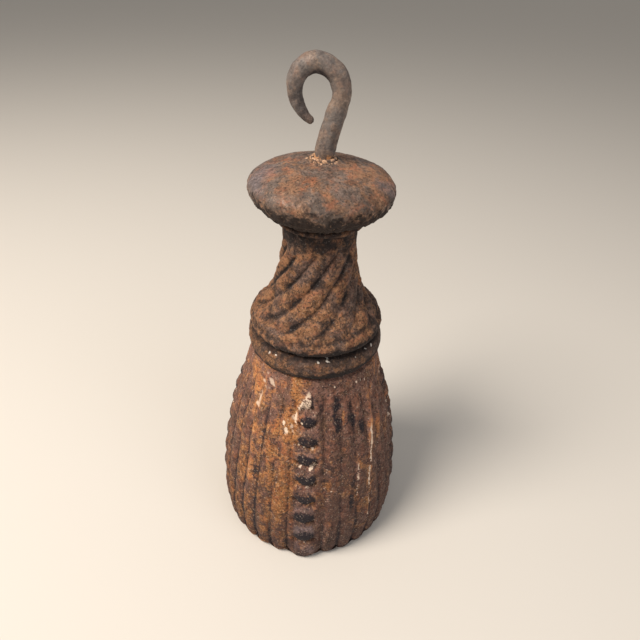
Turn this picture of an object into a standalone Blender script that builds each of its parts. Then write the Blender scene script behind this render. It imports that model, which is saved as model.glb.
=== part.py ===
"""Tassel-shaped cast-iron hanging weight with a forged hook that swivels in its cap.

The castings are strung on one tie bolt: ribbed body, collar ring and twisted neck.
The cap screws into the top of the neck and carries the hook in a bush.
The origin is the centre of the base, +Z is up, and the hook lies in the XZ plane.
"""

import math

import bmesh
import bpy
from mathutils import Vector

MM = 0.001
GAP = 0.3 * MM  # clearance kept between pieces that touch on the real object

# Heights of the joints between the castings
BODY_TOP = 107.6 * MM
RING_TOP = 119.2 * MM
NECK_TOP = 168.6 * MM
MOULDING_TOP = 171.2 * MM
CAP_TOP = 194.0 * MM
TOTAL_HEIGHT = 230.0 * MM

# Ribbed body: (radius, height) down the rib crests, from the top edge to the base
BODY_OUTLINE = [
    (29.2 * MM, BODY_TOP),
    (31.0 * MM, 102.0 * MM),
    (34.8 * MM, 91.0 * MM),
    (39.7 * MM, 76.0 * MM),
    (43.6 * MM, 56.0 * MM),
    (46.9 * MM, 34.0 * MM),
    (48.4 * MM, 17.0 * MM),
    (48.4 * MM, 7.0 * MM),
    (47.2 * MM, 0.0),
]
BODY_ROWS = 9
BODY_STEPS = 144
KNOTTED_RIBS = 4
KNOTTED_HALF_WIDTH = math.radians(11.5)
PLAIN_RIBS = 6  # between each knotted rib and the next
PLAIN_RIB_PITCH = (2 * math.pi / KNOTTED_RIBS - 2 * KNOTTED_HALF_WIDTH) / PLAIN_RIBS
KNOTTED_RIB_DEPTH = 2.8 * MM
PLAIN_RIB_INSET = 1.0 * MM
RIB_FADE_LOW = 93.0 * MM
RIB_FADE_HIGH = 106.5 * MM

# Inside of the body
MOUTH_RADIUS = 40.0 * MM
MOUTH_DEPTH = 6.0 * MM
CAVITY_TOP = 99.0 * MM
# (radius, height) up the cavity wall, from the shelf above the mouth to the roof
CAVITY_OUTLINE = [
    (37.5 * MM, MOUTH_DEPTH),
    (38.5 * MM, 20.0 * MM),
    (37.0 * MM, 36.0 * MM),
    (33.6 * MM, 56.0 * MM),
    (28.6 * MM, 76.0 * MM),
    (17.0 * MM, CAVITY_TOP),
]

# Tie bolt, its nut and its washers
BOLT_RADIUS = 5.0 * MM
BOLT_HOLE_RADIUS = 5.4 * MM
BOLT_BOTTOM = 1.6 * MM
BOLT_HEAD_RADIUS = 8.6 * MM
BOLT_HEAD_HEIGHT = 6.0 * MM
SLOT_WIDTH = 1.8 * MM
SLOT_DEPTH = 2.4 * MM
WASHER_THICKNESS = 1.8 * MM
WASHER_RADIUS = 8.8 * MM
NUT_ACROSS_FLATS = 17.0 * MM
NUT_HEIGHT = 8.0 * MM

# Base plate with the well that the nut hides in
PLATE_BOTTOM = 1.0 * MM
PLATE_THICKNESS = 4.6 * MM
WELL_RADIUS = 12.5 * MM
WELL_WALL = 3.0 * MM
WELL_DEPTH = 12.0 * MM

# Collar ring
RING_RADIUS = 30.9 * MM
RING_EDGE_RADIUS = 29.2 * MM

# Twisted neck: (radius, height) up the flute crests, from the foot to the top
NECK_OUTLINE = [
    (28.4 * MM, RING_TOP + GAP),
    (30.0 * MM, 122.4 * MM),
    (29.4 * MM, 126.2 * MM),
    (26.8 * MM, 129.8 * MM),
    (22.6 * MM, 134.6 * MM),
    (19.3 * MM, 141.2 * MM),
    (17.5 * MM, 149.6 * MM),
    (15.9 * MM, 159.0 * MM),
    (15.5 * MM, NECK_TOP),
]
NECK_ROWS = 16
NECK_STEPS = 72
FLUTES = 12
FLUTE_DEPTH = 1.9 * MM
FLUTE_START = 122.0 * MM
FLUTE_END = 165.0 * MM
NECK_TWIST_STEPS = 28
FOOT_TWIST_SHARE = 0.18
FOOT_TWIST_SHARPNESS = 9.0
NECK_FLOOR = 131.0 * MM
NECK_CAVITY_RADIUS = 14.0 * MM
NECK_BORE_RADIUS = 9.5 * MM
NECK_BORE_START = 148.0 * MM

# Moulding under the cap
MOULDING_RADIUS = 18.2 * MM

# Cap: a flattened bun with a threaded spigot below it
CAP_RADIUS = 29.2 * MM
CAP_EQUATOR = 183.0 * MM
CAP_UPPER_POWER = 1.2
CAP_UNDERSIDE = [(27.4 * MM, 178.0 * MM), (22.6 * MM, 173.6 * MM), (18.6 * MM, MOULDING_TOP + GAP)]
SPIGOT_RADIUS = 9.2 * MM
SPIGOT_BOTTOM = 156.0 * MM
SPIGOT_BORE_RADIUS = 6.9 * MM
SPIGOT_ROOF = 180.0 * MM

# Hook, with its bush, its washer and its upset head
HOOK_RADIUS = 3.5 * MM
BUSH_RADIUS = 5.2 * MM
BUSH_BORE_RADIUS = 3.8 * MM
BUSH_PROUD = 0.5 * MM
HOOK_HEAD_RADIUS = 5.8 * MM
HOOK_HEAD_HEIGHT = 4.0 * MM
HOOK_WASHER_RADIUS = 6.5 * MM
HOOK_WASHER_THICKNESS = 1.6 * MM
CROWN_THICKNESS = 1.08
CROWN_HEIGHT = TOTAL_HEIGHT - CROWN_THICKNESS * HOOK_RADIUS
# (x, height, thickness as a share of HOOK_RADIUS) along the bent part of the rod
HOOK_ROUTE = [
    (0.0 * MM, 193.0 * MM, 1.00),
    (0.7 * MM, 198.5 * MM, 1.00),
    (2.5 * MM, 206.0 * MM, 1.02),
    (4.6 * MM, 213.0 * MM, 1.03),
    (5.2 * MM, 218.0 * MM, 1.03),
    (3.2 * MM, 222.9 * MM, 1.06),
    (-0.8 * MM, 225.6 * MM, CROWN_THICKNESS),
    (-4.7 * MM, CROWN_HEIGHT, CROWN_THICKNESS),
    (-8.6 * MM, 224.2 * MM, 1.00),
    (-10.8 * MM, 220.6 * MM, 0.90),
    (-11.1 * MM, 216.4 * MM, 0.80),
    (-9.6 * MM, 211.8 * MM, 0.66),
    (-7.2 * MM, 208.8 * MM, 0.50),
    (-4.7 * MM, 206.9 * MM, 0.30),
]
ROUTE_STEPS = 3

ROUND_STEPS = 36

RUSTY_BODY = (0.30, 0.16, 0.09)
RUSTY_NECK = (0.24, 0.12, 0.07)
DARK_IRON = (0.16, 0.12, 0.10)
FORGED_IRON = (0.13, 0.11, 0.10)
STEEL = (0.30, 0.28, 0.27)
LEAD = (0.24, 0.25, 0.27)


def clear_scene():
    for obj in list(bpy.data.objects):
        bpy.data.objects.remove(obj, do_unlink=True)


def new_collection(name):
    collection = bpy.data.collections.new(name)
    bpy.context.scene.collection.children.link(collection)
    return collection


def iron_material(name, colour, roughness, metallic):
    material = bpy.data.materials.new(name)
    material.use_nodes = True
    shader = material.node_tree.nodes["Principled BSDF"]
    shader.inputs["Base Color"].default_value = (*colour, 1.0)
    shader.inputs["Roughness"].default_value = roughness
    shader.inputs["Metallic"].default_value = metallic
    return material


def smooth_step(value, low, high):
    share = min(max((value - low) / (high - low), 0.0), 1.0)
    return share * share * (3.0 - 2.0 * share)


def spline_through(points, steps):
    """Catmull-Rom points through the given tuples, with the given number of steps per span."""
    ends = [points[0], *points, points[-1]]
    result = []
    for before, start, stop, after in zip(ends, ends[1:], ends[2:], ends[3:]):
        for step in range(steps):
            t = step / steps
            result.append(
                tuple(
                    0.5 * (2 * b + (c - a) * t + (2 * a - 5 * b + 4 * c - d) * t**2
                           + (3 * b - a - 3 * c + d) * t**3)
                    for a, b, c, d in zip(before, start, stop, after)
                )
            )
    result.append(points[-1])
    return result


def resampled(outline, rows):
    """The smooth outline through the given (radius, height) points, at equal steps along its length."""
    fine = spline_through(outline, 16)
    lengths = [0.0]
    for a, b in zip(fine, fine[1:]):
        lengths.append(lengths[-1] + math.dist(a, b))
    result = []
    index = 0
    for row in range(rows + 1):
        wanted = lengths[-1] * row / rows
        while index < len(fine) - 2 and lengths[index + 1] < wanted:
            index += 1
        share = (wanted - lengths[index]) / (lengths[index + 1] - lengths[index])
        share = min(max(share, 0.0), 1.0)
        result.append(tuple(a + (b - a) * share for a, b in zip(fine[index], fine[index + 1])))
    return result


def finished(obj, material):
    obj.data.materials.clear()
    obj.data.materials.append(material)
    obj.data.shade_smooth()
    obj.data.set_sharp_from_angle(angle=math.radians(35))
    return obj


def turned(name, outline, material, collection, steps=ROUND_STEPS):
    """A closed outline of (radius, height) points, down the outside and up the bore, turned about Z."""
    mesh = bpy.data.meshes.new(name)
    points = [(radius, 0.0, height) for radius, height in outline]
    edges = [(i, (i + 1) % len(points)) for i in range(len(points))]
    mesh.from_pydata(points, edges, [])
    obj = bpy.data.objects.new(name, mesh)
    collection.objects.link(obj)
    screw = obj.modifiers.new("Turn", "SCREW")
    screw.steps = steps
    screw.render_steps = steps
    screw.use_merge_vertices = True
    screw.merge_threshold = 0.00001
    return finished(obj, material)


def with_modifiers_applied(obj):
    """The object's evaluated shape as a plain mesh, in place of its modifiers."""
    graph = bpy.context.evaluated_depsgraph_get()
    mesh = bpy.data.meshes.new_from_object(obj.evaluated_get(graph))
    obj.modifiers.clear()
    obj.data = mesh
    return obj


def cutter(name, collection):
    """The object that the last primitive operator made, kept as a hidden cutter."""
    obj = bpy.context.object
    obj.name = name
    for owner in list(obj.users_collection):
        owner.objects.unlink(obj)
    collection.objects.link(obj)
    obj.hide_render = True
    obj.display_type = "WIRE"
    return obj


def cut(obj, tool):
    boolean = obj.modifiers.new("Cut", "BOOLEAN")
    boolean.operation = "DIFFERENCE"
    boolean.solver = "EXACT"
    boolean.object = tool


def rib_depth(angle, height):
    """How far the body's surface lies under its rib crests: four knotted ribs, plain ones between."""
    quarter = 2 * math.pi / KNOTTED_RIBS
    turn = abs((angle + quarter / 2) % quarter - quarter / 2)
    if turn < KNOTTED_HALF_WIDTH:
        depth = KNOTTED_RIB_DEPTH * 0.5 * (1 - math.cos(math.pi * turn / KNOTTED_HALF_WIDTH))
    else:
        crest = abs(math.sin(math.pi * (turn - KNOTTED_HALF_WIDTH) / PLAIN_RIB_PITCH))
        depth = PLAIN_RIB_INSET + (KNOTTED_RIB_DEPTH - PLAIN_RIB_INSET) * (1 - crest)
    return depth * (1 - smooth_step(height, RIB_FADE_LOW, RIB_FADE_HIGH))


def ribbed_body(collection):
    outside = resampled(BODY_OUTLINE, BODY_ROWS)
    mouth = [(MOUTH_RADIUS, 0.0), (MOUTH_RADIUS, MOUTH_DEPTH)]
    bolt_hole = [(BOLT_HOLE_RADIUS, CAVITY_TOP), (BOLT_HOLE_RADIUS, BODY_TOP)]
    outline = outside + mouth + CAVITY_OUTLINE + bolt_hole
    material = iron_material("rusty_body_iron", RUSTY_BODY, 0.92, 0.1)
    body = turned("ribbed_body", outline, material, collection, BODY_STEPS)
    with_modifiers_applied(body)
    crest_radius = {round(height, 6): radius for radius, height in outside}
    for vertex in body.data.vertices:
        x, y, height = vertex.co
        radius = math.hypot(x, y)
        crest = crest_radius.get(round(height, 6), math.inf)
        if radius > crest - KNOTTED_RIB_DEPTH:
            scale = (radius - rib_depth(math.atan2(y, x), height)) / radius
            vertex.co = Vector((x * scale, y * scale, height))
    return finished(body, material)


def lead_ballast(collection):
    """Fills the cavity around the bolt, down to the base plate and its well."""
    floor = PLATE_BOTTOM + PLATE_THICKNESS + GAP
    well_top = PLATE_BOTTOM + WELL_DEPTH + WELL_WALL + GAP
    well_radius = WELL_RADIUS + WELL_WALL + GAP
    shelf_radius = CAVITY_OUTLINE[0][0] - 2 * GAP
    roof_radius = CAVITY_OUTLINE[-1][0] - 2 * GAP
    roof = [(BOLT_HOLE_RADIUS, CAVITY_TOP - GAP), (roof_radius, CAVITY_TOP - GAP)]
    side = [(radius - 2 * GAP, height) for radius, height in reversed(CAVITY_OUTLINE[1:-1])]
    foot = [(shelf_radius, floor)]
    well = [(well_radius, floor), (well_radius, well_top), (BOLT_HOLE_RADIUS, well_top)]
    material = iron_material("lead", LEAD, 0.6, 0.6)
    return turned("lead_ballast", roof + side + foot + well, material, collection)


def base_plate(collection):
    """A flat ring that closes the mouth, with a well in its middle for the nut."""
    top = PLATE_BOTTOM + PLATE_THICKNESS
    well_roof = PLATE_BOTTOM + WELL_DEPTH
    outline = [
        (BOLT_HOLE_RADIUS, well_roof + WELL_WALL),
        (WELL_RADIUS + WELL_WALL, well_roof + WELL_WALL),
        (WELL_RADIUS + WELL_WALL, top),
        (MOUTH_RADIUS - GAP, top),
        (MOUTH_RADIUS - GAP, PLATE_BOTTOM),
        (WELL_RADIUS, PLATE_BOTTOM),
        (WELL_RADIUS, well_roof),
        (BOLT_HOLE_RADIUS, well_roof),
    ]
    material = iron_material("base_iron", DARK_IRON, 0.85, 0.3)
    return turned("base_plate", outline, material, collection)


def washer(name, inner, outer, bottom, thickness, collection):
    edge = 0.15 * thickness
    outline = [
        (inner, bottom + thickness),
        (outer - edge, bottom + thickness),
        (outer, bottom + thickness - edge),
        (outer, bottom + edge),
        (outer - edge, bottom),
        (inner, bottom),
    ]
    return turned(name, outline, iron_material(name + "_steel", STEEL, 0.55, 0.8), collection)


def tie_bolt(collection, cutters):
    """A slotted cheese head on the neck's floor and a plain shank down to the nut."""
    head_bottom = NECK_FLOOR + WASHER_THICKNESS + 2 * GAP
    head_top = head_bottom + BOLT_HEAD_HEIGHT
    chamfer = 0.8 * MM
    outline = [
        (0.0, head_top),
        (BOLT_HEAD_RADIUS - chamfer, head_top),
        (BOLT_HEAD_RADIUS, head_top - chamfer),
        (BOLT_HEAD_RADIUS, head_bottom),
        (BOLT_RADIUS, head_bottom),
        (BOLT_RADIUS, BOLT_BOTTOM + chamfer),
        (BOLT_RADIUS - chamfer, BOLT_BOTTOM),
        (0.0, BOLT_BOTTOM),
    ]
    material = iron_material("tie_bolt_steel", STEEL, 0.5, 0.85)
    bolt = turned("tie_bolt", outline, material, collection)
    bpy.ops.mesh.primitive_cube_add(size=1.0, location=(0, 0, head_top))
    slot = cutter("bolt_slot_cutter", cutters)
    slot.scale = (4 * BOLT_HEAD_RADIUS, SLOT_WIDTH, 2 * SLOT_DEPTH)
    cut(bolt, slot)
    return bolt


def tie_nut(collection, cutters):
    """A hexagon nut with eased corners, hidden in the base plate's well."""
    top = PLATE_BOTTOM + WELL_DEPTH - WASHER_THICKNESS - 2 * GAP
    middle = top - NUT_HEIGHT / 2
    corner = NUT_ACROSS_FLATS / math.sqrt(3)
    bpy.ops.mesh.primitive_cylinder_add(vertices=6, radius=corner, depth=NUT_HEIGHT, location=(0, 0, middle))
    nut = bpy.context.object
    nut.name = "tie_nut"
    for owner in list(nut.users_collection):
        owner.objects.unlink(nut)
    collection.objects.link(nut)
    bevel = nut.modifiers.new("Ease corners", "BEVEL")
    bevel.width = 0.8 * MM
    bevel.segments = 2
    bpy.ops.mesh.primitive_cylinder_add(
        vertices=ROUND_STEPS, radius=BOLT_RADIUS + GAP, depth=2 * NUT_HEIGHT, location=(0, 0, middle)
    )
    cut(nut, cutter("nut_bore_cutter", cutters))
    return finished(nut, iron_material("nut_steel", STEEL, 0.5, 0.85))


def collar_ring(collection):
    """A half-round ring between the body and the neck, bored for the tie bolt."""
    bottom = BODY_TOP + GAP
    middle = (bottom + RING_TOP) / 2
    half = (RING_TOP - bottom) / 2
    swell = RING_RADIUS - RING_EDGE_RADIUS
    rim = []
    for step in range(9):
        angle = math.pi / 2 - math.pi * step / 8
        rim.append((RING_EDGE_RADIUS + swell * math.cos(angle), middle + half * math.sin(angle)))
    outline = [(BOLT_HOLE_RADIUS, RING_TOP), *rim, (BOLT_HOLE_RADIUS, bottom)]
    material = iron_material("collar_iron", DARK_IRON, 0.85, 0.3)
    return turned("collar_ring", outline, material, collection)


def twist_share(height):
    """0 at the foot to 1 at the top: the flutes lie almost flat round the foot and steepen above it."""
    share = min(max((height - NECK_OUTLINE[0][1]) / (NECK_TOP - NECK_OUTLINE[0][1]), 0.0), 1.0)
    foot = (1 - math.exp(-FOOT_TWIST_SHARPNESS * share)) / (1 - math.exp(-FOOT_TWIST_SHARPNESS))
    return (1 - FOOT_TWIST_SHARE) * share + FOOT_TWIST_SHARE * foot


def flute_fade(height):
    foot = smooth_step(height, FLUTE_START, FLUTE_START + 5.0 * MM)
    top = 1 - smooth_step(height, FLUTE_END - 9.0 * MM, FLUTE_END)
    return foot * top


def twisted_neck(collection):
    """Rings lofted up the fluted outside, each turned a little further, then down the plain inside."""
    rings = []
    step_angle = 2 * math.pi / NECK_STEPS
    for radius, height in resampled(NECK_OUTLINE, NECK_ROWS):
        turn = twist_share(height) * NECK_TWIST_STEPS * step_angle
        ring = []
        for step in range(NECK_STEPS):
            valley = 1 - abs(math.sin(0.5 * FLUTES * step * step_angle))
            here = radius - FLUTE_DEPTH * valley * flute_fade(height)
            angle = step * step_angle + turn
            ring.append((here * math.cos(angle), here * math.sin(angle), height))
        rings.append(ring)
    inside = [
        (NECK_BORE_RADIUS, NECK_TOP),
        (NECK_BORE_RADIUS, NECK_BORE_START),
        (NECK_CAVITY_RADIUS, NECK_FLOOR + 2 * MM),
        (NECK_CAVITY_RADIUS - 2 * MM, NECK_FLOOR),
        (BOLT_HOLE_RADIUS, NECK_FLOOR),
        (BOLT_HOLE_RADIUS, NECK_OUTLINE[0][1]),
    ]
    for radius, height in inside:
        turns = [(step + NECK_TWIST_STEPS) * step_angle for step in range(NECK_STEPS)]
        rings.append([(radius * math.cos(a), radius * math.sin(a), height) for a in turns])
    shape = bmesh.new()
    rows = [[shape.verts.new(point) for point in ring] for ring in rings]
    for index, row in enumerate(rows):
        last = index == len(rows) - 1
        above = rows[0] if last else rows[index + 1]
        shift = NECK_TWIST_STEPS if last else 0
        for step in range(NECK_STEPS):
            after = (step + 1) % NECK_STEPS
            shape.faces.new(
                (row[step], row[after], above[(after + shift) % NECK_STEPS], above[(step + shift) % NECK_STEPS])
            )
    mesh = bpy.data.meshes.new("twisted_neck")
    shape.to_mesh(mesh)
    shape.free()
    neck = bpy.data.objects.new("twisted_neck", mesh)
    collection.objects.link(neck)
    return finished(neck, iron_material("rusty_neck_iron", RUSTY_NECK, 0.9, 0.15))


def neck_moulding(collection):
    """The thin ring that shows as a lip between the neck and the cap."""
    bottom = NECK_TOP + GAP
    edge = 0.8 * MM
    outline = [
        (NECK_BORE_RADIUS, MOULDING_TOP),
        (MOULDING_RADIUS - edge, MOULDING_TOP),
        (MOULDING_RADIUS, MOULDING_TOP - edge),
        (MOULDING_RADIUS, bottom + edge),
        (MOULDING_RADIUS - edge, bottom),
        (NECK_BORE_RADIUS, bottom),
    ]
    return turned("neck_moulding", outline, iron_material("moulding_iron", DARK_IRON, 0.85, 0.3), collection)


def cap(collection):
    """A flattened bun, bored for the bush, on a spigot that screws into the neck."""
    bore = BUSH_RADIUS + GAP
    outline = [(bore, cap_surface_height(bore))]
    for step in range(1, 9):
        angle = math.pi / 2 * (1 - step / 8)
        radius = CAP_RADIUS * math.cos(angle) ** CAP_UPPER_POWER
        if radius > bore + MM:
            outline.append((radius, CAP_EQUATOR + (CAP_TOP - CAP_EQUATOR) * math.sin(angle)))
    outline += spline_through([(CAP_RADIUS, CAP_EQUATOR), *CAP_UNDERSIDE], 3)[1:]
    outline += [
        (SPIGOT_RADIUS, MOULDING_TOP + GAP),
        (SPIGOT_RADIUS, SPIGOT_BOTTOM),
        (SPIGOT_BORE_RADIUS, SPIGOT_BOTTOM),
        (SPIGOT_BORE_RADIUS, SPIGOT_ROOF),
        (bore, SPIGOT_ROOF),
    ]
    return turned("cap", outline, iron_material("cap_iron", RUSTY_NECK, 0.8, 0.35), collection)


def cap_surface_height(radius):
    angle = math.acos((radius / CAP_RADIUS) ** (1 / CAP_UPPER_POWER))
    return CAP_EQUATOR + (CAP_TOP - CAP_EQUATOR) * math.sin(angle)


def hook_bush(collection):
    """A plain sleeve in the cap, standing a little proud, that the shank turns in."""
    top = CAP_TOP + BUSH_PROUD
    edge = 0.3 * MM
    outline = [
        (BUSH_BORE_RADIUS, top),
        (BUSH_RADIUS - edge, top),
        (BUSH_RADIUS, top - edge),
        (BUSH_RADIUS, SPIGOT_ROOF + GAP),
        (BUSH_BORE_RADIUS, SPIGOT_ROOF + GAP),
    ]
    return turned("hook_bush", outline, iron_material("bush_iron", STEEL, 0.7, 0.6), collection)


def hook(collection):
    """One forged rod: upset head inside the cap, straight shank on the Z axis, then the tapered bend."""
    head_top = SPIGOT_ROOF - HOOK_WASHER_THICKNESS - 2 * GAP
    head_bottom = head_top - HOOK_HEAD_HEIGHT
    head = HOOK_HEAD_RADIUS / HOOK_RADIUS
    route = [
        (0.0, head_bottom, 0.7 * head),
        (0.0, head_bottom + 0.8 * MM, 0.95 * head),
        (0.0, head_bottom + 1.8 * MM, head),
        (0.0, head_top - 0.2 * MM, head),
        (0.0, head_top, 1.0),
        (0.0, SPIGOT_ROOF, 1.0),
    ]
    route += spline_through(HOOK_ROUTE, ROUTE_STEPS)
    curve = bpy.data.curves.new("hook", "CURVE")
    curve.dimensions = "3D"
    curve.bevel_depth = HOOK_RADIUS
    curve.bevel_resolution = 4
    curve.use_fill_caps = True
    spline = curve.splines.new("POLY")
    spline.points.add(len(route) - 1)
    for point, (x, height, thickness) in zip(spline.points, route):
        point.co = (x, 0.0, height, 1.0)
        point.radius = thickness
    obj = bpy.data.objects.new("hook", curve)
    obj.data.materials.append(iron_material("forged_iron", FORGED_IRON, 0.7, 0.5))
    collection.objects.link(obj)
    return obj


def main():
    clear_scene()
    weight = new_collection("hanging_weight")
    cutters = new_collection("cutters")
    ribbed_body(weight)
    lead_ballast(weight)
    base_plate(weight)
    collar_ring(weight)
    twisted_neck(weight)
    neck_moulding(weight)
    cap(weight)
    hook_bush(weight)
    hook(weight)
    tie_bolt(weight, cutters)
    tie_nut(weight, cutters)
    nut_washer_bottom = PLATE_BOTTOM + WELL_DEPTH - WASHER_THICKNESS - GAP
    washer("nut_washer", BOLT_HOLE_RADIUS, WASHER_RADIUS, nut_washer_bottom, WASHER_THICKNESS, weight)
    washer("bolt_washer", BOLT_HOLE_RADIUS, WASHER_RADIUS, NECK_FLOOR + GAP, WASHER_THICKNESS, weight)
    washer(
        "hook_washer",
        BUSH_BORE_RADIUS,
        HOOK_WASHER_RADIUS,
        SPIGOT_ROOF - HOOK_WASHER_THICKNESS - GAP,
        HOOK_WASHER_THICKNESS,
        weight,
    )


main()
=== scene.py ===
"""Looks of the tassel-shaped hanging weight: weathered castings, forged hook, camera, floor and light.

Every casting is one closed skin: an outline turned about the Z axis, with its ribs, beads or twisted
flutes, casting unevenness, pits and flakes worked out for each point of the skin. The same functions
give each point its share of stain, scale and wear, and of painted light and shade, which the rust
materials read as attributes.
"""

import math

import bpy
import numpy as np
from mathutils import Matrix, Vector


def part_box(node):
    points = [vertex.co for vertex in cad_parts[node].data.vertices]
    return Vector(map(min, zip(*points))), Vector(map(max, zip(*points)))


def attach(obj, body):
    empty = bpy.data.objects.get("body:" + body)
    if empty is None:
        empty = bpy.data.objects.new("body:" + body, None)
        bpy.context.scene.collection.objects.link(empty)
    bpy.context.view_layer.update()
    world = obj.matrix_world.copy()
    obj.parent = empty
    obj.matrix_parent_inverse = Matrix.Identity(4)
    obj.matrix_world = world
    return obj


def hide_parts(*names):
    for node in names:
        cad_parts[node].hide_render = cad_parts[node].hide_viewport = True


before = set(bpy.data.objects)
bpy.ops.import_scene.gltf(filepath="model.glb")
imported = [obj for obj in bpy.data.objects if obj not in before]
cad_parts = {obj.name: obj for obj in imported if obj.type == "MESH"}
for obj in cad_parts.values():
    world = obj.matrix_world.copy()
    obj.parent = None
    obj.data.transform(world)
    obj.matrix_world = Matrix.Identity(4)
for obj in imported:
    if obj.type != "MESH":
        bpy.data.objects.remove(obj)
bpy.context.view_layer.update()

MM = 0.001

# Camera, as the object was seen: a short lens, close by, looking down with a slight roll
CAMERA_DISTANCE = 192.6 * MM
CAMERA_HEIGHT = 257.8 * MM
CAMERA_AZIMUTH = math.radians(0.8)
CAMERA_YAW = math.radians(0.61)
CAMERA_PITCH = math.radians(35.76)
CAMERA_ROLL = math.radians(3.14)
CAMERA_LENS = 29.14
CAMERA_SENSOR = 36.0

FRONT = -math.pi / 2  # the side of the knotted rib that faces the camera

# From here on every size is in mm, and every height is above the surface that the weight stands on

# Ribbed body
BODY_STEPS = 480
BODY_ROWS = 176
# (radius, height) down the rib crests, between the top edge and the rounded foot
BODY_OUTLINE = [
    (30.9, 102.0), (34.7, 91.0), (39.6, 76.0), (43.6, 56.0), (46.9, 34.0), (48.2, 17.0), (48.1, 7.0),
]
BODY_FOOT = [(47.6, 3.0), (46.9, 1.0), (45.6, 0.15)]
BODY_EDGE_INSET = 1.6  # of the top edge, from the outline's first point
# (radius, height) of the hidden inside, from the mouth up to the roof
BODY_INSIDE = [
    (40.0, 0.0), (40.0, 6.0), (37.5, 6.0), (38.5, 20.0), (37.0, 36.0), (33.6, 56.0), (28.6, 76.0), (17.0, 99.0),
]
BODY_TOP_HOLE = 22.0
BOLT_HOLE = 5.4
KNOTTED_RIBS = 4
KNOTTED_HALF_WIDTH = math.radians(11.5)
PLAIN_RIBS = 6  # between each knotted rib and the next
PLAIN_RIB_PITCH = (2 * math.pi / KNOTTED_RIBS - 2 * KNOTTED_HALF_WIDTH) / PLAIN_RIBS
RIB_DEPTH = 2.5
PLAIN_RIB_INSET = 1.1
BEAD_HALF_WIDTH = math.radians(8.8)
BEAD_OFFSET = math.radians(1.2)  # how far left of their rib's middle the beads sit
BEAD_CROWN = 0.5  # where a bead is highest, as a share of the way down it
NOTCH_HEIGHTS = [106.0, 93.5, 85.2, 74.9, 64.8, 53.0, 41.4, 27.8, 13.6, -6.0]
NOTCH_SHIFT = 1.6  # the most that a notch moves up or down on the three ribs away from the camera
NOTCH_DEPTH = 3.6
NOTCH_SAG = 3.4
# for each bead from the top down: the pale edge at its upper notch, a painted highlight on the bead's lit top
# edge, and the grey-violet sheen painted on top of it as a highlight
RIM_HIGHLIGHTS = [0.0, 0.0, 0.3, 0.66, 1.2, 0.45, 0.35, 0.5, 0.45]
BEAD_PAINTED_SHEENS = [0.0, 0.1, 0.1, 0.25, 0.1, 0.15, 0.4, 0.9, 0.6]
RIB_STRENGTHS = [1.0, 0.65, 0.9, 0.65]  # how deep the notches are on the front, right, back and left ribs
# (degrees round from the front, height, half width in degrees, half height) of single marks
BODY_CHIPS = [
    (-19.0, 86.0, 1.5, 1.4), (-16.5, 83.0, 2.0, 2.2), (-5.5, 87.5, 1.2, 1.3), (20.0, 104.4, 1.3, 0.8),
    (41.0, 103.0, 0.9, 0.9), (46.0, 102.6, 0.9, 1.3), (51.0, 102.0, 0.8, 0.9), (55.5, 100.4, 0.9, 1.6),
    (16.0, 50.2, 1.1, 0.9), (0.5, 12.6, 0.8, 0.8),
]
BODY_STAINS = [
    (-35.0, 53.0, 3.6, 9.0), (21.5, 90.0, 7.4, 17.0), (32.5, 88.0, 6.4, 14.0), (40.5, 82.0, 4.4, 6.0),
    (30.0, 43.0, 3.4, 17.0),
]
BODY_SHADES = [
    (-35.0, 53.0, 3.4, 9.5), (-32.0, 74.0, 5.0, 7.0), (-20.0, 68.0, 4.0, 8.0), (-20.5, 54.0, 4.0, 5.0),
    (-30.0, 38.0, 6.0, 9.0), (9.0, 95.0, 8.0, 9.0),
]
BODY_FLAKES = [(-38.0, 102.0, 14.0, 5.0), (-44.0, 91.0, 3.4, 6.0), (-12.0, 88.0, 3.0, 8.0)]
BODY_GLOWS = [
    (-24.0, 82.0, 5.0, 8.0), (-26.5, 66.0, 4.0, 9.0), (15.5, 69.0, 2.6, 8.0), (14.0, 54.0, 2.6, 5.0),
    (26.0, 90.0, 2.0, 9.0),
]
# worn lines along rib crests: (how bare, [(degrees round from the front, height), ...] from the top down)
CREST_LINES = [
    (0.6, [(48.2, 80.0), (47.6, 70.0), (45.0, 46.0), (42.2, 11.0)]),
    (0.14, [(53.0, 98.0), (49.5, 86.0), (48.0, 76.0)]),
    (0.3, [(15.0, 34.0), (14.0, 22.0), (13.0, 6.0)]),
    (0.2, [(61.0, 101.0), (52.0, 86.0), (46.8, 75.0), (47.8, 64.0)]),
    (0.15, [(66.0, 94.0), (63.0, 86.0), (58.0, 75.0), (57.0, 50.0)]),
    (0.5, [(36.0, 66.0), (35.0, 52.0), (33.0, 36.0)]),
    (0.16, [(-43.0, 95.0), (-46.0, 86.0), (-43.0, 74.0), (-41.0, 60.0), (-40.0, 42.0)]),
]

# Collar ring
RING_STEPS = 320
RING_ROWS = 34
RING_DROP = 0.4  # of its top below the CAD ring's, which opens the crack under the neck
RING_ROUNDING = 3.4
RING_HIDDEN = 7.0  # how far in from the rim the hidden part of the flat faces starts
# marks as on the body, with heights measured down from the CAD ring's top
RING_CHIPS = [
    (-39.0, 1.8, 1.9, 0.9), (-32.0, 1.3, 1.2, 0.5), (5.0, 1.0, 2.4, 0.5), (13.0, 0.9, 3.2, 0.6),
    (38.0, 1.4, 1.4, 0.8), (52.0, 0.8, 2.2, 0.6), (60.0, 1.2, 2.6, 0.7),
]

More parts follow.
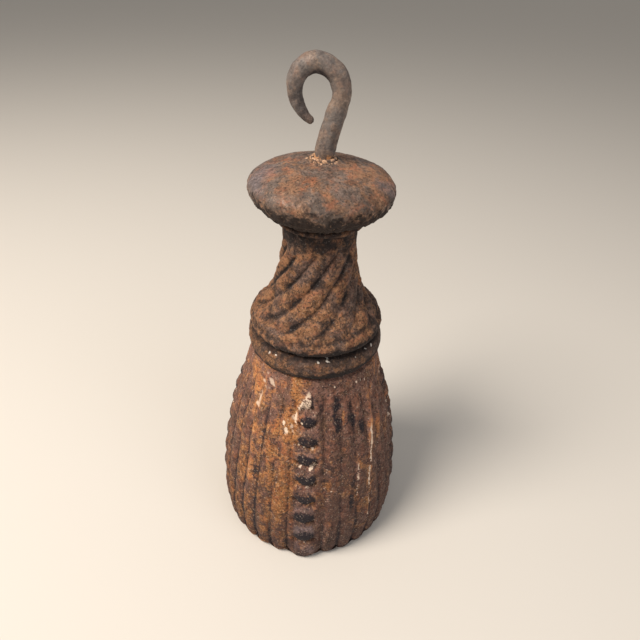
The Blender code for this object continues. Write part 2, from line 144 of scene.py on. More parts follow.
# Twisted neck
NECK_STEPS = 420
NECK_ROWS = 150
NECK_TOP_RADIUS = 15.5
NECK_OUTLINE = [
    (29.3, 121.0), (29.9, 123.4), (29.2, 126.6), (26.6, 129.9), (22.4, 134.6), (19.3, 141.2), (17.5, 149.6),
    (15.9, 159.0),
]
FLUTES = 12
FLUTE_DEPTH = 2.1
NECK_TWIST = math.radians(140)
TWIST_FOOT = 123.2  # height where the flutes start to turn
FOOT_TWIST_SHARE = 0.18
FOOT_TWIST_SHARPNESS = 9.0
NECK_INSIDE = [(9.5, 148.0), (14.0, 133.0), (12.0, 131.0), (5.4, 131.0)]

# Moulding under the cap
MOULDING_STEPS = 220
MOULDING_ROWS = 14
MOULDING_ROUNDING = 1.2
MOULDING_HIDDEN = 3.0

# Cap
CAP_STEPS = 360
CAP_ROWS = 110
CAP_EQUATOR = 183.0
CAP_TOP = 194.0
CAP_FOOT = 171.5
CAP_UPPER_POWER = 1.2
CAP_UNDERSIDE = [(27.4, 178.0), (22.6, 173.6), (18.6, CAP_FOOT)]
SPIGOT_RADIUS = 9.2
SPIGOT_BORE = 6.9
SPIGOT_ROOF = 180.0
BUSH_HOLE = 5.5

# Bush
BUSH_STEPS = 140
ROD_HOLE = 3.8

# Hook: (x, height, radius) up the rod and round the bend to the tip. The rod stays slim up to the top of
# the bush, at 194.5, so that it turns clear of the bush's hole.
HOOK_STEPS = 40
HEAD_RADIUS = 5.7
HEAD_HEIGHT = 4.0
SHANK_RADIUS = 3.5
SHANK_TOP = 186.0
HAMMER_RISE = 0.18  # the most that the hammer marks stand out
HOOK_ROUTE = [
    (0.0, 193.0, SHANK_RADIUS), (0.02, 194.8, 3.52), (0.5, 196.8, 3.90), (1.25, 200.4, 3.90), (2.1, 204.0, 3.86),
    (3.15, 208.0, 3.80), (3.95, 210.8, 3.74), (4.8, 213.2, 3.46), (5.3, 216.0, 3.46), (5.0, 219.0, 3.60),
    (3.2, 222.9, 3.72), (-0.8, 225.6, 3.78), (-4.7, 226.1, 3.72), (-8.5, 224.2, 3.62), (-10.7, 220.6, 3.34),
    (-11.0, 216.4, 2.96), (-9.6, 211.8, 2.34), (-7.2, 208.6, 1.86), (-4.2, 206.5, 1.40),
]

# Base plate
BASE_STEPS = 240
PLATE_THICKNESS = 4.6
WELL_RADIUS = 12.5
WELL_DEPTH = 12.0

FLOOR_HALF_SIDE = 12.0  # in metres


# ---------------------------------------------------------------- noise on numpy points, sizes in mm

def lattice(seed):
    """A seeded permutation and the random values that belong to its 256 keys."""
    random = np.random.default_rng(seed)
    return random.permutation(256), random


def corner_keys(order, corner):
    """The key, 0 to 255, that a corner of the noise grid always gets."""
    first = order[corner[..., 0] & 255]
    second = order[(first + corner[..., 1]) & 255]
    return order[(second + corner[..., 2]) & 255]


def noise(points, size, seed):
    """Smooth gradient noise between about -1 and 1, with features of the given size."""
    order, random = lattice(seed)
    slopes = random.normal(size=(256, 3))
    slopes /= np.linalg.norm(slopes, axis=1)[:, None]
    scaled = points / size
    cell = np.floor(scaled).astype(np.int64)
    inside = scaled - cell
    ease = inside**3 * (inside * (6 * inside - 15) + 10)
    total = np.zeros(len(points))
    for x in (0, 1):
        for y in (0, 1):
            for z in (0, 1):
                step = np.array((x, y, z))
                weight = np.prod(np.where(step, ease, 1 - ease), axis=1)
                slope = slopes[corner_keys(order, cell + step)]
                total += weight * ((inside - step) * slope).sum(axis=1)
    return 1.7 * total


def fractal(points, size, octaves, seed):
    """Noise with finer noise on top of it, each octave half the size and half as strong."""
    total = np.zeros(len(points))
    for octave in range(octaves):
        total += noise(points, size / 2**octave, seed + octave) / 2**octave
    return total / 1.6


def spots(points, size, share, seed):
    """0 to 1: round spots of different sizes, in that share of the cells of a jittered grid."""
    order, random = lattice(seed)
    jitter = random.uniform(0.2, 0.8, size=(256, 3))
    radius = random.uniform(0.25, 0.6, size=256)
    radius[random.uniform(size=256) > share] = 1e-6
    scaled = points / size
    cell = np.floor(scaled).astype(np.int64)
    deepest = np.zeros(len(points))
    for x in (-1, 0, 1):
        for y in (-1, 0, 1):
            for z in (-1, 0, 1):
                corner = cell + np.array((x, y, z))
                key = corner_keys(order, corner)
                distance = np.linalg.norm(scaled - corner - jitter[key], axis=1)
                deepest = np.maximum(deepest, 1 - (distance / radius[key]) ** 2)
    return deepest


def smooth(value, low, high):
    """0 at low to 1 at high, eased at both ends; low may be the larger one."""
    share = np.clip((value - low) / (high - low), 0.0, 1.0)
    return share * share * (3 - 2 * share)


# ---------------------------------------------------------------- skins

def spline(points, steps):
    """Catmull-Rom points through the given tuples, with the given number of steps per span."""
    p = np.array([points[0], *points, points[-1]], float)
    result = []
    for i in range(len(points) - 1):
        before, start, stop, after = p[i : i + 4]
        for t in np.arange(steps) / steps:
            result.append(
                0.5 * (2 * start + (stop - before) * t + (2 * before - 5 * start + 4 * stop - after) * t**2
                       + (3 * start - before - 3 * stop + after) * t**3)
            )
    result.append(p[-1])
    return np.array(result)


def evenly(points, count):
    """That many points at equal steps along a polyline."""
    points = np.asarray(points, float)
    lengths = np.concatenate([[0], np.cumsum(np.linalg.norm(np.diff(points, axis=0), axis=1))])
    wanted = np.linspace(0, lengths[-1], count)
    return np.stack([np.interp(wanted, lengths, points[:, i]) for i in range(points.shape[1])], axis=1)


def turned_skin(outside, inside, columns):
    """Points, outward normals and visibility of a closed outline in (radius, height) turned about Z.

    The outside runs from the top of the piece down to its foot and the inside back up the bore."""
    outline = np.array([*outside, *inside], float)
    tangent = np.roll(outline, -1, axis=0) - np.roll(outline, 1, axis=0)
    tangent /= np.linalg.norm(tangent, axis=1)[:, None]
    normal = np.stack([-tangent[:, 1], tangent[:, 0]], axis=1)
    angle = FRONT + np.arange(columns) * 2 * math.pi / columns
    around = np.stack([np.cos(angle), np.sin(angle)], axis=1)
    radius, height = outline.T
    points = np.empty((len(outline), columns, 3))
    points[..., :2] = radius[:, None, None] * around
    points[..., 2] = height[:, None]
    normals = np.empty_like(points)
    normals[..., :2] = normal[:, 0, None, None] * around
    normals[..., 2] = normal[:, 1, None]
    shown = np.zeros(len(outline))
    shown[: len(outside)] = 1
    shown = np.repeat(shown, columns).reshape(len(outline), columns)
    return points, normals, shown


def closed_grid_mesh(name, points):
    """A mesh of quads over a grid that closes on itself in both directions."""
    rows, columns = points.shape[:2]
    index = np.arange(rows * columns).reshape(rows, columns)
    after = np.roll(index, -1, axis=1)
    below = np.roll(index, -1, axis=0)
    below_after = np.roll(after, -1, axis=0)
    faces = np.stack([index, below, below_after, after], axis=-1).reshape(-1, 4)
    return mesh_of(name, points.reshape(-1, 3), faces.tolist())


def mesh_of(name, points, faces):
    mesh = bpy.data.meshes.new(name)
    mesh.from_pydata((points * MM).tolist(), [], faces)
    mesh.shade_smooth()
    return mesh


def add_object(name, data):
    obj = bpy.data.objects.new(name, data)
    bpy.context.scene.collection.objects.link(obj)
    return obj


def piece(name, mesh, attributes, material):
    """An object of that mesh, with one value per point for each attribute that its material reads."""
    for label, values in attributes.items():
        layer = mesh.attributes.new(label, "FLOAT", "POINT")
        layer.data.foreach_set("value", np.asarray(values, np.float32).ravel())
    obj = add_object(name, mesh)
    mesh.materials.append(material)
    return obj


def skin_piece(name, skin, columns, material, **attributes):
    return piece(name, closed_grid_mesh(name, skin.reshape(-1, columns, 3)), attributes, material)


def pushed(points, normals, move):
    """The points moved along their normals, each by its own distance."""
    return points + normals.reshape(-1, 3) * move[:, None]


def from_axis(points):
    return np.hypot(points[:, 0], points[:, 1])


def sideways(points):
    """-1 at the left end of the weight's width to 1 at the right end, as seen from the front."""
    return points[:, 0] / np.maximum(from_axis(points), 1e-6)


def top_of(node):
    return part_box(node)[1].z / MM


def foot_of(node):
    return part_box(node)[0].z / MM


# ---------------------------------------------------------------- rust relief

def rust_relief(points, coarse, fine, pitting, flaking, seed):
    """(outward displacement, tone) of weathered iron at the given points.

    The tone runs from 0 in the hollows to 1 on the high grains, which wear and light up first."""
    slow = fractal(points, 16.0, 3, seed) * coarse
    lumps = fractal(points, 4.2, 3, seed + 10)
    grains = 0.5 * noise(points, 2.0, seed + 20) + 0.6 * noise(points, 1.2, seed + 21)
    pit = spots(points, 2.2, pitting, seed + 30)
    pit *= smooth(noise(points, 11.0, seed + 31), -0.2, 0.5)
    flake = smooth(fractal(points, 9.0, 4, seed + 40), 0.18, 0.26)
    rough = 0.6 * lumps + 0.5 * grains - 0.7 * pit
    tone = np.clip(0.5 + 0.5 * rough + 0.15 * flake, 0, 1)
    return slow + fine * rough + flaking * flake, tone


# ---------------------------------------------------------------- materials

class Nodes:
    """Builds one material's node tree."""

    def __init__(self, name):
        self.material = bpy.data.materials.new(name)
        self.material.use_nodes = True
        self.tree = self.material.node_tree
        self.shader = self.tree.nodes["Principled BSDF"]
        self.place = self.tree.nodes.new("ShaderNodeTexCoord").outputs["Object"]

    def link(self, source, target):
        self.tree.links.new(source, target)

    def fill(self, socket, value):
        if isinstance(value, bpy.types.NodeSocket):
            self.link(value, socket)
        else:
            socket.default_value = value

    def noise(self, size_mm, detail=3.0, roughness=0.55, distortion=0.0, tall=1.0, offset=0.0):
        """Noise with features of the given size, drawn out along Z by the factor tall."""
        place = self.tree.nodes.new("ShaderNodeMapping")
        place.inputs["Location"].default_value = (offset, offset, offset)
        place.inputs["Scale"].default_value = (1.0, 1.0, 1.0 / tall)
        self.link(self.place, place.inputs["Vector"])
        node = self.tree.nodes.new("ShaderNodeTexNoise")
        node.inputs["Scale"].default_value = 1 / (size_mm * MM)
        node.inputs["Detail"].default_value = detail
        node.inputs["Roughness"].default_value = roughness
        node.inputs["Distortion"].default_value = distortion
        self.link(place.outputs["Vector"], node.inputs["Vector"])
        return node.outputs["Fac"]

    def attribute(self, label):
        node = self.tree.nodes.new("ShaderNodeAttribute")
        node.attribute_name = label
        return node.outputs["Fac"]

    def ramp(self, value, low, high, start=0.0, stop=1.0):
        node = self.tree.nodes.new("ShaderNodeMapRange")
        node.interpolation_type = "SMOOTHSTEP"
        self.fill(node.inputs["Value"], value)
        node.inputs["From Min"].default_value = low
        node.inputs["From Max"].default_value = high
        node.inputs["To Min"].default_value = start
        node.inputs["To Max"].default_value = stop
        return node.outputs["Result"]

    def math(self, operation, a, b):
        node = self.tree.nodes.new("ShaderNodeMath")
        node.operation = operation
        self.fill(node.inputs[0], a)
        self.fill(node.inputs[1], b)
        return node.outputs["Value"]

    def mix(self, share, a, b, blend="MIX"):
        node = self.tree.nodes.new("ShaderNodeMix")
        node.data_type = "RGBA"
        node.blend_type = blend
        self.fill(node.inputs["Factor"], share)
        self.fill(node.inputs["A"], a)
        self.fill(node.inputs["B"], b)
        return node.outputs["Result"]

    def bump(self, height, strength, distance_mm, below=None):
        node = self.tree.nodes.new("ShaderNodeBump")
        node.inputs["Strength"].default_value = strength
        node.inputs["Distance"].default_value = distance_mm * MM
        self.link(height, node.inputs["Height"])
        if below is not None:
            self.link(below, node.inputs["Normal"])
        return node.outputs["Normal"]


def colour(red, green, blue):
    """A linear RGBA colour from the 0 to 255 values of a display colour."""
    linear = []
    for value in (red, green, blue):
        share = value / 255
        linear.append(share / 12.92 if share <= 0.04045 else ((share + 0.055) / 1.055) ** 2.4)
    return (*linear, 1.0)


def rust(
    name, warm, cool, blush, deep, ochre, dark, pale, bloom,
    roughness=(0.72, 0.95), grain=1.0, tall=1.0, speckle=0.12, contrast=1.0,
):
    """Layered rust: patches of warm, cool, blush and deep, painted lit and shaded grain by grain, with glints of
    ochre, dark holes and stains, pale specks and chips. It reads the point attributes warmth, a painted
    grey-violet sheen, tone with its painted light and shade, stains with painted shade, and pale. roughness is
    (least, most), and tall draws the patches out along Z."""
    n = Nodes(name)
    patches = n.noise(9.0, 5.0, 0.68, 0.4, tall)
    blushes = n.noise(4.6, 5.0, 0.74, 0.5, tall, 0.3)
    depths = n.noise(5.0, 5.0, 0.74, 0.5, tall, 0.7)
    mottle = n.noise(2.4, 3.0, 0.6, 0.2)
    grains = n.noise(0.9, 2.0, 0.6)
    sparks = n.noise(0.9, 2.0, 0.6, 0.0, 1.0, 0.5)
    holes = n.noise(0.8, 1.0, 0.6, 0.0, 1.0, 0.9)
    specks = n.noise(0.75, 1.0, 0.5, 0.0, 1.0, 1.3)
    warmth = n.math("ADD", n.attribute("warmth"), n.ramp(patches, 0.38, 0.62, -0.5, 0.5))
    warmth = n.math("ADD", warmth, n.ramp(mottle, 0.35, 0.65, -0.2, 0.2))
    base = n.mix(n.ramp(warmth, 0.0, 1.0), cool, warm)
    redness = n.math("MULTIPLY", n.ramp(blushes, 0.48, 0.64, 0.0, 0.7), n.ramp(warmth, 0.0, 0.8, 0.45, 1.0))
    base = n.mix(redness, base, blush)
    base = n.mix(n.ramp(depths, 0.5, 0.64, 0.0, 0.7), base, deep)
    # painted highlight: the grey-violet sheen, as much as the point attribute gives
    base = n.mix(n.math("MULTIPLY", n.attribute("bloom"), 0.6), base, bloom)
    # painted light and shade: the tone lightens and darkens the colour grain by grain and along the pieces'
    # painted gradients
    tone = n.math("ADD", n.attribute("tone"), n.ramp(grains, 0.3, 0.7, -0.35, 0.35))
    tone = n.math("ADD", tone, n.ramp(mottle, 0.35, 0.65, -0.3, 0.3))
    base = n.mix(1.0, base, n.ramp(tone, -0.1, 1.1, 1 - 0.38 * contrast, 1 + 0.38 * contrast), "MULTIPLY")
    glint = n.math("MULTIPLY", n.ramp(sparks, 0.54, 0.66), n.ramp(warmth, 0.0, 1.0, 0.15, 0.8))
    glint = n.math("MULTIPLY", glint, n.ramp(blushes, 0.35, 0.6, 1.0, 0.25))
    base = n.mix(glint, base, ochre)
    base = n.mix(n.ramp(holes, 0.43, 0.34, 0.0, 0.75 * contrast), base, dark)
    scatter = n.ramp(specks, 0.64, 0.72, 0.0, speckle)
    scatter = n.math("MULTIPLY", scatter, n.ramp(blushes, 0.4, 0.6, 1.0, 0.5))
    # stains, together with the painted shade that the point attribute carries
    stain = n.math("ADD", n.attribute("stain"), n.ramp(mottle, 0.3, 0.7, 0.12, -0.12))
    stain = n.math("MULTIPLY", n.ramp(stain, 0.1, 0.9), n.ramp(tone, 0.4, 1.3, 0.96, 0.75))
    base = n.mix(stain, base, dark)
    base = n.mix(scatter, base, pale)
    chips = n.math("ADD", n.attribute("pale"), n.ramp(tone, 0.1, 0.9, -0.35, 0.25))
    base = n.mix(n.ramp(chips, 0.35, 0.8), base, pale)
    n.link(base, n.shader.inputs["Base Color"])
    sheen = n.ramp(mottle, 0.35, 0.65, roughness[1], roughness[0])
    n.link(n.math("ADD", sheen, n.math("MULTIPLY", stain, 0.3)), n.shader.inputs["Roughness"])
    n.shader.inputs["Specular IOR Level"].default_value = 0.35
    relief = n.bump(mottle, 0.5 * grain, 0.5)
    n.link(n.bump(grains, 0.8 * grain, 0.35, relief), n.shader.inputs["Normal"])
    return n.material


def plain_metal(name, light, dark, roughness, metallic, spot_mm):
    """Duller metal of the hidden fittings: two tones in spots, fine scratches of tarnish."""
    n = Nodes(name)
    patches = n.noise(spot_mm, 5.0, 0.6, 0.5)
    grains = n.noise(0.9, 3.0, 0.6)
    share = n.math("ADD", n.ramp(patches, 0.35, 0.65, 0.0, 0.75), n.ramp(grains, 0.4, 0.7, 0.0, 0.25))
    n.link(n.mix(share, light, dark), n.shader.inputs["Base Color"])
    n.link(n.ramp(patches, 0.3, 0.7, roughness - 0.12, roughness + 0.12), n.shader.inputs["Roughness"])
    n.shader.inputs["Metallic"].default_value = metallic
    relief = n.bump(patches, 0.3, 0.3)
    n.link(n.bump(grains, 0.4, 0.1, relief), n.shader.inputs["Normal"])
    return n.material


# ---------------------------------------------------------------- ribbed body

def rib_turn(angle):
    """(signed angle from the nearest knotted rib, number of that rib)."""
    quarter = 2 * math.pi / KNOTTED_RIBS
    number = np.round((angle - FRONT) / quarter)
    return angle - FRONT - number * quarter, np.mod(number, KNOTTED_RIBS).astype(int)


def bead_profile(share):
    """0 in the notches and 1 on the crown of a bead, from its upper notch (0) to its lower one (1)."""
    upper = np.sin(0.5 * np.pi * np.clip(share / BEAD_CROWN, 0, 1)) ** 0.75
    lower = np.cos(0.5 * np.pi * np.clip((share - BEAD_CROWN) / (1 - BEAD_CROWN), 0, 1)) ** 0.55
    return np.where(share < BEAD_CROWN, upper, lower)


def bead_share(height, turn, rib):
    """For points on the knotted ribs: the share of the way down their bead, the same without the
    notches' sag, and the number of the bead."""
    random = np.random.default_rng(7)
    shifts = random.uniform(-NOTCH_SHIFT, NOTCH_SHIFT, size=(KNOTTED_RIBS, len(NOTCH_HEIGHTS)))
    shifts[0] = 0
    shifts[:, [0, -1]] = 0
    notches = np.array(NOTCH_HEIGHTS) + shifts
    across = np.clip(turn / BEAD_HALF_WIDTH, -1, 1)
    level = height - NOTCH_SAG * across**2
    share = np.zeros(len(height))
    straight = np.zeros(len(height))
    number = np.zeros(len(height), int)
    for bead in range(len(NOTCH_HEIGHTS) - 1):
        upper = notches[rib, bead]
        lower = notches[rib, bead + 1]
        here = (level <= upper) & (level > lower)
        share[here] = ((upper - level) / (upper - lower))[here]
        straight[here] = ((upper - height) / (upper - lower))[here]
        number[here] = bead
    return share, straight, number


def placed_spots(angle, height, places, soft=0.55):
    """1 on spots given as (degrees round from the front, height, half width, half height), 0 off them."""
    total = np.zeros(len(height))
    for degrees, level, wide, tall in places:
        turn = np.mod(angle - FRONT - math.radians(degrees) + math.pi, 2 * math.pi) - math.pi
        distance = np.hypot(turn / math.radians(wide), (height - level) / tall)
        total = np.maximum(total, 1 - smooth(distance, soft, 1.05))
    return total


def crest_line(angle, height, path, half_width):
    """1 along a line down the body, given as (degrees round from the front, height) from the top down."""
    degrees, heights = np.array(path[::-1]).T
    here = FRONT + np.radians(np.interp(height, heights, degrees))
    turn = np.mod(angle - here + math.pi, 2 * math.pi) - math.pi
    across = smooth(np.abs(turn), math.radians(1.6 * half_width), math.radians(0.5 * half_width))
    lowest, highest = heights[0], heights[-1]
    return across * smooth(height, lowest, lowest + 5.0) * smooth(height, highest, highest - 5.0)


def near_turn(turn, degrees, wide, narrow):
    """1 within narrow degrees of that turn, 0 beyond wide degrees."""
    return smooth(np.abs(turn - math.radians(degrees)), math.radians(wide), math.radians(narrow))


def ribbed_casting(material):
    """The bell: plain ribs, four knotted ribs with their beads, and the marks that the photo shows."""
    top = top_of("ribbed_body")
    shoulder = [(BODY_OUTLINE[0][0] - BODY_EDGE_INSET, top)]
    outline = spline([*shoulder, *BODY_OUTLINE, *BODY_FOOT], 16)
    outside = evenly(outline, BODY_ROWS)
    inside = [*BODY_INSIDE, (BOLT_HOLE, BODY_INSIDE[-1][1]), (BOLT_HOLE, top), (BODY_TOP_HOLE, top)]
    skin, normals, shown = turned_skin(outside, inside, BODY_STEPS)
    flat = skin.reshape(-1, 3)
    shown = shown.ravel()
    height = flat[:, 2]
    angle = np.arctan2(flat[:, 1], flat[:, 0])
    wobble = noise(flat * (1, 1, 0.35), 14.0, 3) * math.radians(0.9)
    turn, rib = rib_turn(angle + wobble)

    # ribs, which fade out towards the ring
    fade = 1 - smooth(height, 93.0, 106.5)
    crest = np.abs(np.sin(math.pi * (np.abs(turn) - KNOTTED_HALF_WIDTH) / PLAIN_RIB_PITCH)) ** 0.8
    plain = PLAIN_RIB_INSET + (RIB_DEPTH - PLAIN_RIB_INSET) * (1 - crest)
    dome = np.cos(0.5 * np.pi * np.clip(np.abs(turn) / KNOTTED_HALF_WIDTH, 0, 1)) ** 0.8
    knotted = RIB_DEPTH * (1 - dome)
    on_rib = np.abs(turn) < KNOTTED_HALF_WIDTH

    # the notches between the beads
    bead_turn = turn + BEAD_OFFSET * smooth(height, 10.0, 30.0)
    share, straight, bead = bead_share(height + 0.5 * noise(flat, 7.0, 5), bead_turn, rib)
    width = BEAD_HALF_WIDTH * (1 - 0.6 * smooth(height, 84.0, 102.0))
    window = 1 - smooth(np.abs(bead_turn) / width, 0.62, 1.12)
    window *= 1 - smooth(height, 99.0, 104.0)
    notch = NOTCH_DEPTH * np.array(RIB_STRENGTHS)[rib] * (1 - bead_profile(share)) * window
    notch *= smooth(height, 3.0, 9.0)
    scallop = 1 + 0.45 * smooth(height, 22.0, 4.0)
    erosion = 0.62 + 0.38 * smooth(noise(flat * (1, 1, 0.4), 16.0, 6), -0.5, 0.5)
    erosion += (1 - erosion) * smooth(height, 14.0, 4.0)
    depth = np.where(on_rib, knotted * scallop + notch, plain * scallop * erosion) * fade

    # weathering
    lift, tone = rust_relief(flat, 0.45, 0.5, 0.5, 0.2, 100)
    streaks = noise(flat * (1, 1, 0.12), 2.4, 60) * 0.16
    eroded = np.clip(-noise(flat * (1, 1, 0.2), 9.0, 61), 0, 1) * 1.4 * (1 - smooth(height, 1.0, 9.0))
    drift = angle + 0.6 * wobble
    ridges = sum(crest_line(drift, height, path, 2.0) for bare, path in CREST_LINES)
    move = (np.minimum(lift + streaks, 0.6) - 0.5 - depth + 0.5 * ridges) * shown
    skin = pushed(flat, normals, move)
    skin[:, 2] = np.clip(skin[:, 2] + eroded * shown, 0.0, top)

    lateral = sideways(flat)
    front = rib == 0

    # where the beads get painted shade on their lower sides and a painted grey-violet sheen on their tops, where
    # they are bare, and the valleys between the plain ribs
    crumble = 0.6 * noise(flat, 2.6, 78) + 0.5 * noise(flat, 1.2, 79)
    off_middle = np.abs(bead_turn - math.radians(0.6)) / width
    middle = on_rib * (1 - smooth(off_middle, 0.66, 0.95))
    core = on_rib * (1 - smooth(off_middle + 0.16 * crumble, 0.56, 0.9))
    # painted shade: the lower side of each bead, turned down away from the light, darkened
    painted_bead_shade = smooth(straight + 0.2 * crumble, 0.16, 0.56) * core * 1.2
    # painted highlight: a grey-violet sheen on the top of each bead of the front rib
    bloom = smooth(straight + 0.2 * crumble, 0.02, 0.18) * smooth(straight + 0.3 * crumble, 0.5, 0.25) * core
    bloom *= np.array(BEAD_PAINTED_SHEENS)[bead] * front
    painted_bead_shade *= np.where(bead == 0, smooth(turn, math.radians(-1.0), math.radians(3.0)), 1.0)
    painted_bead_shade *= np.where(bead == len(NOTCH_HEIGHTS) - 2, 0.4, 1.0) * np.where(front, 1.0, 0.6)
    valley = smooth(crest, 0.6, 0.1) * fade * ~on_rib

    # warmth over the whole body, painted warmer on the lit left and cooler on the shaded right and at the far left
    # edge, and painted shade over it
    warmth = 0.4 - 0.6 * smooth(lateral, -0.3, 0.3) + 0.35 * noise(flat, 20.0, 70)
    warmth = warmth - 0.4 * smooth(lateral, -0.7, -1.0)
    # painted shade: darker towards the bottom, in the valleys between the plain ribs (more on the left), and in
    # patches over the right side
    painted_low_shade = 0.36 * smooth(height, 60.0, 0.0)
    right_shade_patches = smooth(noise(flat * (1, 1, 0.4), 10.0, 71), 0.2, 0.6) * smooth(lateral, -0.1, 0.4) * 0.5
    painted_furrow_and_low_shade = (0.42 + 0.25 * smooth(lateral, -0.3, -0.6)) * valley + painted_low_shade
    stain = np.maximum(1.15 * painted_bead_shade, np.maximum(painted_furrow_and_low_shade, right_shade_patches))

    # pale rims painted as highlights on the beads' lit top edges, the cream tip, a painted highlight down the lit
    # left flank of the front rib, flakes, worn lines and chips
    rim_strength = np.array(RIM_HIGHLIGHTS)[bead]
    # painted highlight: a pale edge on the lit top of each bead, just under its notch
    rim = smooth(share, 0.24, 0.08) * middle * rim_strength
    rim = rim * smooth(noise(flat, 4.0, 72) + crumble, -0.8, 0.3)
    down = np.clip((104.0 - height) / 10.5, 0, 1)
    tip = smooth(height, 92.6, 94.0) * smooth(height, 104.5, 102.0) * on_rib * (0.45 + 0.55 * down)
    tip *= np.where(front, 1.0, 0.6)
    left_edge = smooth(turn + math.radians(9.0) * down, math.radians(-2.5), 0.0)
    tip *= smooth(turn, math.radians(1.8), 0.0) * left_edge
    # painted highlight: a pale strip down the lit left flank of the front rib, near its top
    lit_flank_highlight = near_turn(turn, -9.0, 4.5, 1.0) * smooth(height, 70.0, 84.0)
    yellow = near_turn(turn, -13.0, 7.0, 2.0) * smooth(height, 20.0, 45.0)
    shoulder_flakes = placed_spots(angle, height, BODY_FLAKES)
    shoulder_flakes = shoulder_flakes * smooth(noise(flat, 2.6, 76) + noise(flat, 6.0, 77), -0.3, 0.3)
    scratch = sum(bare * crest_line(drift, height, path, 0.72) for bare, path in CREST_LINES)
    scratch *= 0.9 + 0.5 * noise(flat, 5.0, 73)
    pale = rim + 0.68 * tip + 0.22 * lit_flank_highlight * front * fade + 0.38 * shoulder_flakes + scratch
    pale = np.clip(np.maximum(pale, placed_spots(angle, height, BODY_CHIPS)), 0, 1)

    # dark blots and shades, warm glows, and the tone with its painted light and shade
    ragged = 1 + 0.5 * noise(flat, 3.0, 75)
    torn = 0.5 * noise(flat * (1, 1, 0.5), 3.4, 80) + 0.7 * crumble
    blots = smooth(placed_spots(angle, height, BODY_STAINS, 0.3) + 0.75 * torn, 0.4, 1.15)
    stain = np.maximum(stain * (1 - 0.6 * pale), 0.78 * blots)
    stain = np.maximum(stain, 0.5 * ragged * placed_spots(angle, height, BODY_SHADES, 0.0))
    warmth += 0.9 * ragged * placed_spots(angle, height, BODY_GLOWS, 0.0)
    warmth += 0.4 * ridges
    # painted light: lighter towards the top and on the upper left; painted shade: darker towards the bottom and on
    # the right
    tone = tone + 0.15 * smooth(height, 84.0, 98.0)
    tone = tone + 0.35 * smooth(height, 86.0, 99.0) * smooth(lateral, -0.2, -0.5)
    tone = tone - 0.56 * smooth(height, 88.0, 8.0) - 0.16 * smooth(lateral, -0.2, 0.2)
    tone += 0.45 * ridges + 0.25 * shoulder_flakes
    warmth += 0.6 * yellow * front
    return skin_piece(
        "ribbed_casting", skin, BODY_STEPS, material, warmth=warmth, stain=stain, pale=pale, tone=tone, bloom=bloom
    )


# ---------------------------------------------------------------- collar ring

def half_round(radius, edge_radius, bottom, top, count):
    """Points down a half-round rim from its top edge to its bottom edge."""
    sweep = np.linspace(0, math.pi, count)
    across = edge_radius + (radius - edge_radius) * np.sin(sweep)
    height = (bottom + top) / 2 + (top - bottom) / 2 * np.cos(sweep)
    return np.stack([across, height], axis=1)


def ring_casting(material):
    bottom = foot_of("collar_ring")
    top = top_of("collar_ring")
    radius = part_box("collar_ring")[1].x / MM
    lip = top - RING_DROP
    rim = half_round(radius, radius - RING_ROUNDING, bottom, lip, RING_ROWS)
    outside = [(radius - RING_HIDDEN, lip), *rim, (radius - RING_HIDDEN, bottom)]
    inside = [(BOLT_HOLE, bottom), (BOLT_HOLE, lip)]
    skin, normals, shown = turned_skin(outside, inside, RING_STEPS)
    flat = skin.reshape(-1, 3)
    shown = shown.ravel() * smooth(from_axis(flat), radius - 6.5, radius - 3.0)
    lift, tone = rust_relief(flat, 0.5, 0.28, 0.4, 0.2, 200)
    move = (np.minimum(lift, 0.45) - 0.45) * shown
    skin = pushed(flat, normals, move)
    height = flat[:, 2]
    lateral = sideways(flat)
    torn = 1.4 * noise(flat, 8.0, 213) + noise(flat, 2.6, 215) + 0.6 * noise(flat, 1.3, 216)
    # painted shade: the lower half darker, more so on the right, and a dark band at the top under the crack
    # beneath the neck
    stain = smooth(height + torn - 1.5 * smooth(lateral, 0.0, 0.5), bottom + 6.0, bottom + 2.0) * 0.9
    stain = np.maximum(stain, smooth(height, top - 2.6, top - 0.6) * 0.6)
    angle = np.arctan2(flat[:, 1], flat[:, 0])
    chips = spots(flat, 5.0, 0.3, 210) * smooth(height, top - 4.5, top - 2.0)
    chips = chips * smooth(noise(flat, 9.0, 211), 0.2, 0.5)
    below_top = top - height + 0.6 * noise(flat, 1.6, 214)
    chips = np.maximum(0.6 * chips, placed_spots(angle, below_top, RING_CHIPS))
    tone = tone - 0.42
    warmth = 0.3 - 0.25 * lateral + 0.3 * noise(flat, 18.0, 212)
    return skin_piece(
        "ring_casting", skin, RING_STEPS, material, warmth=warmth, stain=stain, pale=chips, tone=tone
    )


# ---------------------------------------------------------------- twisted neck

def neck_twist(height, foot, top):
    """0 at the foot to the full twist at the top: almost flat round the foot, steeper above it."""
    share = (height - foot) / (top - foot)
    low = (1 - np.exp(-FOOT_TWIST_SHARPNESS * share)) / (1 - math.exp(-FOOT_TWIST_SHARPNESS))
    return NECK_TWIST * ((1 - FOOT_TWIST_SHARE) * share + FOOT_TWIST_SHARE * low)


